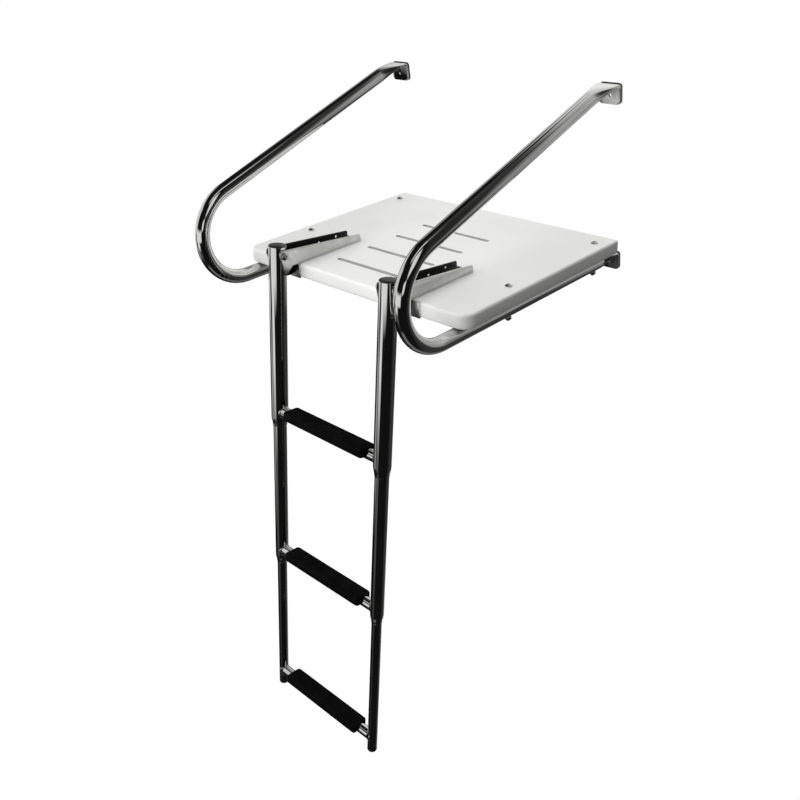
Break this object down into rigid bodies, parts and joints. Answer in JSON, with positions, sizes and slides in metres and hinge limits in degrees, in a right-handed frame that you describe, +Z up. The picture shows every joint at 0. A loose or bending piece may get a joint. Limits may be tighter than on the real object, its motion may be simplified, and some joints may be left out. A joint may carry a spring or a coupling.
{
  "type": "boat boarding ladder",
  "caption": "Transom swim platform with looped handrails and a fold-up telescoping boarding ladder hinged at its front edge.",
  "frame": {"origin": "on the transom, midway between the two lower tabs' pads", "axes": "+X right when facing the boat, +Y towards the boat, +Z up"},
  "size_m": [0.53, 0.6136, 1.1823],
  "materials": {
    "gelcoat_board": "semi-gloss white gelcoat",
    "polished_stainless": "mirror polished",
    "sheet_stainless": "satin",
    "black_plastic": "moulded",
    "black_rubber": "matt",
    "nylon": "moulded"
  },
  "bodies": {
    "platform": {"platform_board": "gelcoat_board", "left_handrail": "polished_stainless", "right_handrail": "polished_stainless", "left_upper_foot_pad": "black_plastic", "left_lower_foot_pad": "black_plastic", "right_upper_foot_pad": "black_plastic", "right_lower_foot_pad": "black_plastic", "left_front_platform_bolt": "polished_stainless", "left_front_platform_nut": "polished_stainless", "left_back_platform_bolt": "polished_stainless", "left_back_platform_nut": "polished_stainless", "right_front_platform_bolt": "polished_stainless", "right_front_platform_nut": "polished_stainless", "right_back_platform_bolt": "polished_stainless", "right_back_platform_nut": "polished_stainless", "left_hinge_bracket": "sheet_stainless", "right_hinge_bracket": "sheet_stainless", "left_stop_bumper": "black_rubber", "right_stop_bumper": "black_rubber", "left_front_bracket_bolt": "polished_stainless", "left_front_bracket_nut": "polished_stainless", "left_back_bracket_bolt": "polished_stainless", "left_back_bracket_nut": "polished_stainless", "right_front_bracket_bolt": "polished_stainless", "right_front_bracket_nut": "polished_stainless", "right_back_bracket_bolt": "polished_stainless", "right_back_bracket_nut": "polished_stainless", "left_pivot_bolt": "polished_stainless", "left_pivot_nut": "polished_stainless", "right_pivot_bolt": "polished_stainless", "right_pivot_nut": "polished_stainless"},
    "upper_ladder": {"left_upper_rail": "polished_stainless", "right_upper_rail": "polished_stainless", "upper_step_tube": "polished_stainless", "left_rail_cap": "black_plastic", "right_rail_cap": "black_plastic", "upper_tread": "black_rubber"},
    "middle_ladder": {"left_middle_rail": "polished_stainless", "right_middle_rail": "polished_stainless", "middle_step_tube": "polished_stainless", "left_middle_glide": "nylon", "right_middle_glide": "nylon", "middle_tread": "black_rubber"},
    "lower_ladder": {"left_lower_rail": "polished_stainless", "right_lower_rail": "polished_stainless", "lower_step_tube": "polished_stainless", "left_lower_glide": "nylon", "right_lower_glide": "nylon", "left_bottom_cap": "black_plastic", "right_bottom_cap": "black_plastic", "lower_tread": "black_rubber"}
  },
  "joints": [
    {"name": "ladder_fold", "type": "hinge", "parent": "platform", "child": "upper_ladder", "pos_m": [0, -0.473, 0.0666], "axis": [-1, 0, 0], "range_deg": [0, 261]},
    {"name": "middle_slide", "type": "slide", "parent": "upper_ladder", "child": "middle_ladder", "axis": [0, 0.1305, 0.9914], "range_m": [0, 0.258]},
    {"name": "lower_slide", "type": "slide", "parent": "middle_ladder", "child": "lower_ladder", "axis": [0, 0.1305, 0.9914], "range_m": [0, 0.258]}
  ]
}
